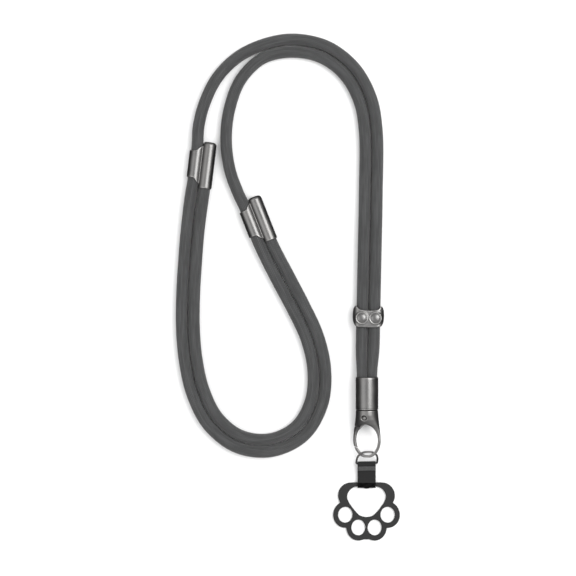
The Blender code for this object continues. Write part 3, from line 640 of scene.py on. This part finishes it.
def smooth_path(route: Sequence[Sequence[float]], spacing: float) -> list[Vector]:
    """Read the centripetal Catmull-Rom curve through a route at an even spacing.

    Args:
        route: The route's points in millimetres.
        spacing: Wanted spacing of the samples, in millimetres.

    Returns:
        Points along the curve in millimetres, from the first to the last.
    """
    points = [Vector(point) for point in route]
    points = [points[0] * 2.0 - points[1], *points, points[-1] * 2.0 - points[-2]]
    dense = []
    for index in range(1, len(points) - 2):
        span = points[index - 1:index + 3]
        knots = [0.0]
        for first, second in zip(span, span[1:]):
            knots.append(knots[-1] + math.sqrt((second - first).length))
        steps = max(4, round((span[2] - span[1]).length / spacing * 3.0))
        dense.extend(span_point(span, knots, step / steps) for step in range(steps))
    dense.append(points[-2])
    lengths = [0.0]
    for first, second in zip(dense, dense[1:]):
        lengths.append(lengths[-1] + (second - first).length)
    count = round(lengths[-1] / spacing)
    even = []
    cursor = 0
    for index in range(count + 1):
        target = lengths[-1] * index / count
        while cursor < len(lengths) - 2 and lengths[cursor + 1] < target:
            cursor += 1
        share = (target - lengths[cursor]) / (lengths[cursor + 1] - lengths[cursor])
        even.append(dense[cursor].lerp(dense[cursor + 1], share))
    return even


def span_point(span: Sequence[Vector], knots: Sequence[float], share: float) -> Vector:
    """Read one Catmull-Rom span.

    Args:
        span: Its four points.
        knots: Their knot values.
        share: Place between the second and third point, from 0 to 1.

    Returns:
        The point there.
    """
    at = knots[1] + (knots[2] - knots[1]) * share
    points = list(span)
    for pairs in (((0, 1), (1, 2), (2, 3)), ((0, 2), (1, 3)), ((1, 2),)):
        points = [points[index].lerp(points[index + 1], (at - knots[low]) / (knots[high] - knots[low]))
                  for index, (low, high) in enumerate(pairs)]
    return points[0]


def finish_piece(name: str, bm: bmesh.types.BMesh, material: bpy.types.Material,
                 body: Body, replaces: Iterable[str] = ()) -> bpy.types.Object:
    """Turn a bmesh in millimetres into a piece of the strap.

    Args:
        name: The piece's name.
        bm: Its shape, in millimetres, in the strap's frame.
        material: Its finish.
        body: The body that it rides on.
        replaces: The frame's nodes that it stands for.

    Returns:
        The new object.
    """
    bmesh.ops.scale(bm, vec=(MM, MM, MM), verts=bm.verts)
    mesh = bpy.data.meshes.new(name)
    bm.to_mesh(mesh)
    bm.free()
    mesh.shade_smooth()
    mesh.materials.append(material)
    piece = bpy.data.objects.new(name, mesh)
    bpy.context.scene.collection.objects.link(piece)
    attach(piece, body.value)
    if replaces:
        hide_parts(*replaces)
    LOG.info("%s: %d faces", name, len(mesh.polygons))
    return piece


@dataclass
class BraidedCord:
    """One of the two round cords, from the ferrule to a slider's blind barrel.

    Args:
        name: The piece's name.
        node: The frame's node that it stands for.
        route: The points that it follows, in millimetres.
        radius: Radius of the cord.
        rib_relief: Height of the braid's ribs.
        ribs: Number of ribs round the cord.
        sides: Sides of the mesh round the cord.
        spacing: Spacing of the mesh along the cord.
        crimp_rows: Place up the strap, half width and half height, where the ferrule squeezes the cord.
    """

    name: str
    node: str
    route: Sequence[Sequence[float]]
    radius: float = 3.86
    rib_relief: float = 0.09
    ribs: int = 24
    sides: int = 48
    spacing: float = 0.55
    crimp_rows: tuple[tuple[float, float, float], ...] = (
        (-23.2, 3.33, 3.15), (-19.0, 3.38, 3.25), (-14.0, 3.55, 3.5), (-8.0, 3.75, 3.75), (-3.0, 3.86, 3.86),
    )

    def girth(self, y: float, near_end: bool) -> tuple[float, float]:
        """Return the cord's half width and half height, smaller in the ferrule.

        Args:
            y: Place up the strap, in millimetres.
            near_end: Whether this is the stretch that runs into the ferrule.

        Returns:
            Half width and half height in millimetres.
        """
        if not near_end:
            return self.radius, self.radius
        rows = self.crimp_rows
        if y <= rows[0][0]:
            return rows[0][1:]
        for low, high in zip(rows, rows[1:]):
            if y <= high[0]:
                share = (y - low[0]) / (high[0] - low[0])
                return tuple(a + (b - a) * share for a, b in zip(low[1:], high[1:]))
        return self.radius, self.radius

    def build(self, wardrobe: Wardrobe) -> bpy.types.Object:
        """Roll a fine grid round the route, with the ribs of the braid in relief.

        Args:
            wardrobe: The finishes.

        Returns:
            The cord's object.
        """
        path = smooth_path(self.route, self.spacing)
        count = len(path) - 1
        bm = bmesh.new()
        layer = bm.loops.layers.uv.new("cord_uv")
        bmesh.ops.create_grid(bm, x_segments=self.sides, y_segments=count, size=0.5, calc_uvs=False)
        for face in bm.faces:
            for loop in face.loops:
                co = loop.vert.co
                loop[layer].uv = (co.x + 0.5, (co.y + 0.5) * count * self.spacing * MM)
        for vertex in bm.verts:
            station = round((vertex.co.y + 0.5) * count)
            vertex.co = self.skin_point(path, station, vertex.co.x + 0.5, count)
        bmesh.ops.remove_doubles(bm, verts=bm.verts, dist=0.001)
        rims = [edge for edge in bm.edges if edge.is_boundary]
        bmesh.ops.holes_fill(bm, edges=rims, sides=self.sides)
        bmesh.ops.recalc_face_normals(bm, faces=bm.faces)
        piece = finish_piece(self.name, bm, wardrobe.braid, Body.LOOP, (self.node,))
        return piece

    def skin_point(self, path: Sequence[Vector], station: int, turn: float, count: int) -> Vector:
        """Return a point of the cord's skin.

        Args:
            path: The cord's middle line.
            station: Index along it.
            turn: Place round the cord, from 0 to 1.
            count: Number of the last station.

        Returns:
            The point in millimetres.
        """
        middle = path[station]
        along = (path[min(station + 1, count)] - path[max(station - 1, 0)]).normalized()
        across = along.cross(Vector((0.0, 0.0, 1.0))).normalized()
        up = across.cross(along)
        angle = 2.0 * math.pi * turn
        half_width, half_height = self.girth(middle.y, station < count // 4)
        relief = self.rib_relief * (0.5 - 0.5 * math.cos(2.0 * math.pi * turn * self.ribs))
        reach = Vector((half_width * math.cos(angle), half_height * math.sin(angle)))
        reach *= 1.0 + (relief - self.rib_relief * 0.5) / self.radius
        return middle + across * reach.x + up * reach.y


@dataclass
class Casting:
    """A zinc casting, refined from its solid to soft edges and an even fine mesh.

    Args:
        name: The piece's name.
        node: The frame's node that it stands for.
        body: The body that it rides on.
        voxel: Size of the fine mesh's cells, in millimetres.
        smoothing: Rounds of smoothing that soften its edges.
        rim_angle: Mean bend in degrees at which an edge counts as a rim.
    """

    name: str
    node: str
    body: Body
    voxel: float = 0.2
    smoothing: int = 8
    rim_angle: float = 9.0

    def build(self, frame: dict, wardrobe: Wardrobe) -> bpy.types.Object:
        """Merge a copy of the solid, remesh it finely and soften its edges.

        Args:
            frame: The loaded frame.
            wardrobe: The finishes.

        Returns:
            The casting's object.
        """
        bm = bmesh.new()
        bm.from_mesh(frame["nodes"][self.node].data)
        bmesh.ops.remove_doubles(bm, verts=bm.verts, dist=0.000001)
        bmesh.ops.scale(bm, vec=(1.0 / MM,) * 3, verts=bm.verts)
        rough = bpy.data.meshes.new(self.name + "_rough")
        bm.to_mesh(rough)
        bm.free()
        holder = bpy.data.objects.new(self.name + "_rough", rough)
        bpy.context.scene.collection.objects.link(holder)
        remesh = holder.modifiers.new("Remesh", "REMESH")
        remesh.mode = "VOXEL"
        remesh.voxel_size = self.voxel
        graph = bpy.context.evaluated_depsgraph_get()
        fine = bpy.data.meshes.new_from_object(holder.evaluated_get(graph))
        bpy.data.objects.remove(holder, do_unlink=True)
        bm = bmesh.new()
        bm.from_mesh(fine)
        for _ in range(self.smoothing):
            bmesh.ops.smooth_vert(bm, verts=bm.verts, factor=0.5,
                                  use_axis_x=True, use_axis_y=True, use_axis_z=True)
        self.mark_rims(bm)
        return finish_piece(self.name, bm, wardrobe.metal, self.body, (self.node,))

    def mark_rims(self, bm: bmesh.types.BMesh) -> None:
        """Write how strongly the surface bends outwards at each vertex, for the painted edge highlight."""
        layer = bm.verts.layers.float.new("rim")
        bm.normal_update()
        bend = {}
        for vertex in bm.verts:
            angles = [edge.calc_face_angle_signed(0.0) for edge in vertex.link_edges if edge.is_manifold]
            bend[vertex] = max(0.0, math.degrees(sum(angles) / max(1, len(angles))) / self.rim_angle)
        for vertex in bm.verts:
            near = [bend[edge.other_vert(vertex)] for edge in vertex.link_edges]
            vertex[layer] = min(1.0, 0.5 * bend[vertex] + 0.5 * sum(near) / max(1, len(near)))


@dataclass
class Ferrule:
    """The round cap that crimps both cords, turned, with a painted highlight on the lip at its mouth and on the
    chamfer at its foot.
    """

    axis: tuple[float, float] = (48.5, 7.45)
    foot_y: float = -45.0
    length: float = 21.6
    radius: float = 7.45
    bore: float = 6.8
    floor: float = 2.4
    stem_hole: float = 2.6
    segments: int = 128

    def profile(self) -> list[tuple[float, float]]:
        """Return the cup's outline as radius and height over its foot."""
        top = self.length
        return [
            (self.stem_hole, self.floor), (self.stem_hole, 0.0), (self.radius - 0.45, 0.0),
            (self.radius - 0.18, 0.08), (self.radius - 0.05, 0.22), (self.radius, 0.45),
            (self.radius, 1.05), (self.radius - 0.12, 1.15), (self.radius - 0.12, 1.4), (self.radius, 1.5),
            (self.radius, top - 1.2), (self.radius - 0.02, top - 0.75), (self.radius - 0.16, top - 0.3),
            (self.radius - 0.3, top - 0.08), (self.radius - 0.42, top), (self.bore + 0.12, top),
            (self.bore, top - 0.1), (self.bore, self.floor),
        ]

    def build(self, wardrobe: Wardrobe) -> bpy.types.Object:
        """Spin the outline about the strap's axis.

        Args:
            wardrobe: The finishes.

        Returns:
            The ferrule's object.
        """
        bm = bmesh.new()
        rim = bm.verts.layers.float.new("rim")
        outline = self.profile()
        verts = [bm.verts.new((radius, height, 0.0)) for radius, height in outline]
        edges = [bm.edges.new(pair) for pair in zip(verts, verts[1:] + verts[:1])]
        # the foot's chamfer and the mouth's lip get a rim value, which paints a highlight on them
        for vertex in verts[2:6] + verts[11:16]:
            vertex[rim] = 0.55
        bmesh.ops.spin(bm, geom=verts + edges, cent=(0.0, 0.0, 0.0), axis=(0.0, 1.0, 0.0),
                       angle=2.0 * math.pi, steps=self.segments, use_merge=True)
        bmesh.ops.recalc_face_normals(bm, faces=bm.faces)
        bmesh.ops.translate(bm, verts=bm.verts, vec=(self.axis[0], self.foot_y, self.axis[1]))
        piece = finish_piece("ferrule_cap", bm, wardrobe.metal, Body.LOOP, ("ferrule",))
        piece.data.set_sharp_from_angle(angle=math.radians(32.0))
        return piece


@dataclass
class WebbingTab:
    """The folded webbing loop and the sewn band across it."""

    centre_x: float = 48.5
    bar_y: float = -81.1
    bar_z: float = 2.8
    eye_radius: float = 0.98
    thickness: float = 0.85
    width: float = 12.0
    end_y: float = -97.4
    patch_top_y: float = -94.0
    seat: float = 1.8
    roll: float = 8.0
    unrolled_by: float = 9.0
    strips: int = 24
    stitch_rows: tuple[float, ...] = (-83.2, -83.75, -84.3, -84.85, -85.4)
    stitches: int = 17
    stitch_margin: float = 0.45
    stitch_slant: float = 14.0

    def side_line(self) -> list[tuple[float, float]]:
        """Return the middle line of the folded tape, as y and z, from its lower to its upper end."""
        half = self.thickness / 2.0
        middle = self.eye_radius + half
        line = [(self.end_y, self.seat + half), (self.patch_top_y, self.seat + half)]
        line += [(-90.0, self.seat + half - 0.1), (-86.0, self.seat + half - 0.25)]
        for degrees in range(-100, 101, 10):
            angle = math.radians(degrees)
            line.append((self.bar_y + middle * math.cos(angle), self.bar_z + middle * math.sin(angle)))
        upper = self.seat + 1.5 * self.thickness
        line += [(-86.0, upper + 0.25), (-90.0, upper + 0.1), (self.patch_top_y, upper), (self.end_y, upper)]
        return line

    def lie(self, x: float, y: float) -> float:
        """Return how far the rolled eye lifts or drops the tape at a place."""
        below = self.bar_y - self.eye_radius - self.thickness - y
        share = 1.0 - min(max(below / self.unrolled_by, 0.0), 1.0)
        return -x * math.tan(math.radians(self.roll) * share)

    def build(self, wardrobe: Wardrobe) -> list[bpy.types.Object]:
        """Fold the tape, give it its thickness and lay the sewing across it.

        Args:
            wardrobe: The finishes.

        Returns:
            The tape and its sewing.
        """
        line = [Vector((0.0, y, z)) for y, z in self.side_line()]
        bm = bmesh.new()
        verts = [bm.verts.new(point - Vector((self.width / 2.0, 0.0, 0.0))) for point in line]
        edges = [bm.edges.new(pair) for pair in zip(verts, verts[1:])]
        row = edges
        for _ in range(self.strips):
            grown = bmesh.ops.extrude_edge_only(bm, edges=row)["geom"]
            moved = [item for item in grown if isinstance(item, bmesh.types.BMVert)]
            row = [item for item in grown if isinstance(item, bmesh.types.BMEdge)
                   and all(vertex in moved for vertex in item.verts)]
            bmesh.ops.translate(bm, verts=moved, vec=(self.width / self.strips, 0.0, 0.0))
        self.unwrap(bm, line)
        for vertex in bm.verts:
            vertex.co.z += self.lie(vertex.co.x, vertex.co.y)
        bmesh.ops.recalc_face_normals(bm, faces=bm.faces)
        bmesh.ops.solidify(bm, geom=list(bm.faces), thickness=self.thickness)
        self.centre_sheet(bm)
        bmesh.ops.translate(bm, verts=bm.verts, vec=(self.centre_x, 0.0, 0.0))
        bmesh.ops.recalc_face_normals(bm, faces=bm.faces)
        tape = finish_piece("tab_tape", bm, wardrobe.tape, Body.CLASP, ("webbing_tab",))
        tape.data.set_sharp_from_angle(angle=math.radians(50.0))
        return [tape, self.sew(wardrobe)]

    def unwrap(self, bm: bmesh.types.BMesh, line: Sequence[Vector]) -> None:
        """Write the tape's own map, in metres across and along it."""
        layer = bm.loops.layers.uv.new("tape_uv")
        stations = [0.0]
        for first, second in zip(line, line[1:]):
            stations.append(stations[-1] + (second - first).length)
        place = {(round(point.y, 4), round(point.z, 4)): at for point, at in zip(line, stations)}
        for face in bm.faces:
            for loop in face.loops:
                co = loop.vert.co
                at = place[(round(co.y, 4), round(co.z, 4))]
                loop[layer].uv = ((co.x + self.width / 2.0) * MM, at * MM)

    def centre_sheet(self, bm: bmesh.types.BMesh) -> None:
        """Move the thickened tape so that its middle lies on the line again."""
        ends = [vertex.co.z for vertex in bm.verts if vertex.co.y < self.end_y + 0.1]
        wanted = self.seat + self.thickness
        bmesh.ops.translate(bm, verts=bm.verts, vec=(0.0, 0.0, wanted - (min(ends) + max(ends)) / 2.0))

    def top_height(self, x: float, y: float) -> float:
        """Return the tape's top surface under a stitch."""
        flat = self.seat + 2.0 * self.thickness
        near = min(max((y - self.patch_top_y) / (self.bar_y - self.patch_top_y), 0.0), 1.0)
        crest = self.bar_z + self.eye_radius + self.thickness
        return flat + (crest - flat) * near + self.lie(x, y)

    def sew(self, wardrobe: Wardrobe) -> bpy.types.Object:
        """Lay rows of short slanted stitches side by side as the sewn band.

        Args:
            wardrobe: The finishes.

        Returns:
            The band's object.
        """
        bm = bmesh.new()
        pitch = (self.width - 2.0 * self.stitch_margin) / self.stitches
        for y in self.stitch_rows:
            for index in range(self.stitches):
                x = -self.width / 2.0 + self.stitch_margin + pitch * (index + 0.5)
                made = bmesh.ops.create_icosphere(bm, subdivisions=1, radius=1.0)["verts"]
                turn = Matrix.Rotation(math.radians(self.stitch_slant), 4, "Z")
                shape = Matrix.Diagonal((pitch * 0.62, 0.3, 0.2, 1.0))
                spot = Matrix.Translation((self.centre_x + x, y, self.top_height(x, y) + 0.04))
                bmesh.ops.transform(bm, matrix=spot @ turn @ shape, verts=made)
        return finish_piece("tab_stitches", bm, wardrobe.thread, Body.CLASP)


@dataclass
class Studio:
    """The plain pale floor, the soft lights and the camera over the middle of the strap."""

    centre: tuple[float, float] = (-3.77, 35.53)
    frame_width: float = 384.0
    lens: float = 100.0
    sensor: float = 36.0
    aim: tuple[float, float, float] = (0.0, 0.03, 0.0)
    key: tuple[tuple[float, float, float], float, float] = ((0.55, 0.25, 0.95), 0.7, 9.0)
    fill: tuple[tuple[float, float, float], float, float] = ((-0.7, -0.1, 0.9), 0.9, 3.0)

    def build(self) -> None:
        """Build the floor, the lights, the sky and the camera."""
        bpy.context.scene.view_settings.view_transform = "Standard"
        self.build_floor()
        self.build_camera()
        self.build_sky()
        self.add_light("key", *self.key)
        self.add_light("fill", *self.fill)

    def build_floor(self) -> None:
        """Lay the floor under the strap."""
        bm = bmesh.new()
        bmesh.ops.create_grid(bm, x_segments=1, y_segments=1, size=3.0)
        mesh = bpy.data.meshes.new("floor")
        bm.to_mesh(mesh)
        bm.free()
        sheet, made, shader = open_material("floor_paper")
        noise = sheet.add("TexNoise")
        sheet.join(sheet.add("TexCoord").outputs["Object"], noise.inputs["Vector"])
        noise.inputs["Scale"].default_value = 6.0
        sheet.join(sheet.mix(noise.outputs[0], grey(0.9), grey(0.92)), shader.inputs["Base Color"])
        shader.inputs["Roughness"].default_value = 0.95
        shader.inputs["Specular IOR Level"].default_value = 0.0
        mesh.materials.append(made)
        floor = bpy.data.objects.new("floor", mesh)
        bpy.context.scene.collection.objects.link(floor)
        floor.visible_glossy = False

    def build_camera(self) -> None:
        """Hang the camera straight over the photograph's middle."""
        data = bpy.data.cameras.new("camera")
        data.lens = self.lens
        data.sensor_width = self.sensor
        data.sensor_fit = "HORIZONTAL"
        data.clip_start = 0.05
        distance = self.frame_width * MM * self.lens / self.sensor
        camera = bpy.data.objects.new("camera", data)
        camera.location = (self.centre[0] * MM, self.centre[1] * MM, distance)
        bpy.context.scene.collection.objects.link(camera)
        bpy.context.scene.camera = camera

    def build_sky(self) -> None:
        """Light the studio evenly, darker towards the floor, so that the metal's sides stay dark."""
        world = bpy.data.worlds.new("studio")
        bpy.context.scene.world = world
        world.use_nodes = True
        tree = world.node_tree
        for node in list(tree.nodes):
            tree.nodes.remove(node)
        sheet = NodeSheet(tree)
        place = sheet.add("TexCoord").outputs["Generated"]
        split = sheet.add("SeparateXYZ")
        sheet.join(place, split.inputs[0])
        level = sheet.ramp(split.outputs["Z"], -0.05, 0.75, 0.12, 1.0)
        light = sheet.add("Background")
        sheet.join(level, light.inputs["Strength"])
        light.inputs["Color"].default_value = (1.0, 1.0, 1.0, 1.0)
        sink = sheet.add("OutputWorld")
        sheet.join(light.outputs[0], sink.inputs[0])

    def add_light(self, name: str, spot: tuple[float, float, float], size: float, power: float) -> None:
        """Hang a soft square light that faces the aim.

        Args:
            name: The light's name.
            spot: Its place in metres.
            size: Its side in metres.
            power: Its power in watts.
        """
        data = bpy.data.lights.new(name, "AREA")
        data.size = size
        data.energy = power
        lamp = bpy.data.objects.new(name, data)
        lamp.location = spot
        lamp.rotation_euler = (Vector(self.aim) - Vector(spot)).to_track_quat("-Z", "Y").to_euler()
        bpy.context.scene.collection.objects.link(lamp)


def dress_nodes(frame: dict, wardrobe: Wardrobe) -> None:
    """Give the frame's own nodes that stay in view their finishes.

    Args:
        frame: The loaded frame.
        wardrobe: The finishes.
    """
    finishes = {"gate_rivet": wardrobe.metal, "d_ring": wardrobe.metal, "paw_patch": wardrobe.skin}
    for name, material in finishes.items():
        node = frame["nodes"][name]
        node.data.materials.clear()
        node.data.materials.append(material)


def main() -> None:
    """Build the strap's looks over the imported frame."""
    logging.basicConfig(level=logging.INFO, format="%(name)s: %(message)s")
    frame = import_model()
    Studio().build()
    wardrobe = Wardrobe()
    BraidedCord("braided_cord_outer", "cord_outer", OUTER_ROUTE).build(wardrobe)
    BraidedCord("braided_cord_inner", "cord_inner", INNER_ROUTE).build(wardrobe)
    Casting("slider_left_casting", "slider_left", Body.LOOP, 0.24).build(frame, wardrobe)
    Casting("slider_right_casting", "slider_right", Body.LOOP, 0.24).build(frame, wardrobe)
    Casting("keeper_casting", "keeper", Body.KEEPER).build(frame, wardrobe)
    Casting("hook_casting", "hook", Body.CLASP, 0.18).build(frame, wardrobe)
    Casting("gate_casting", "gate", Body.GATE, 0.15, 6).build(frame, wardrobe)
    Ferrule().build(wardrobe)
    WebbingTab().build(wardrobe)
    dress_nodes(frame, wardrobe)


if __name__ == "__main__":
    main()
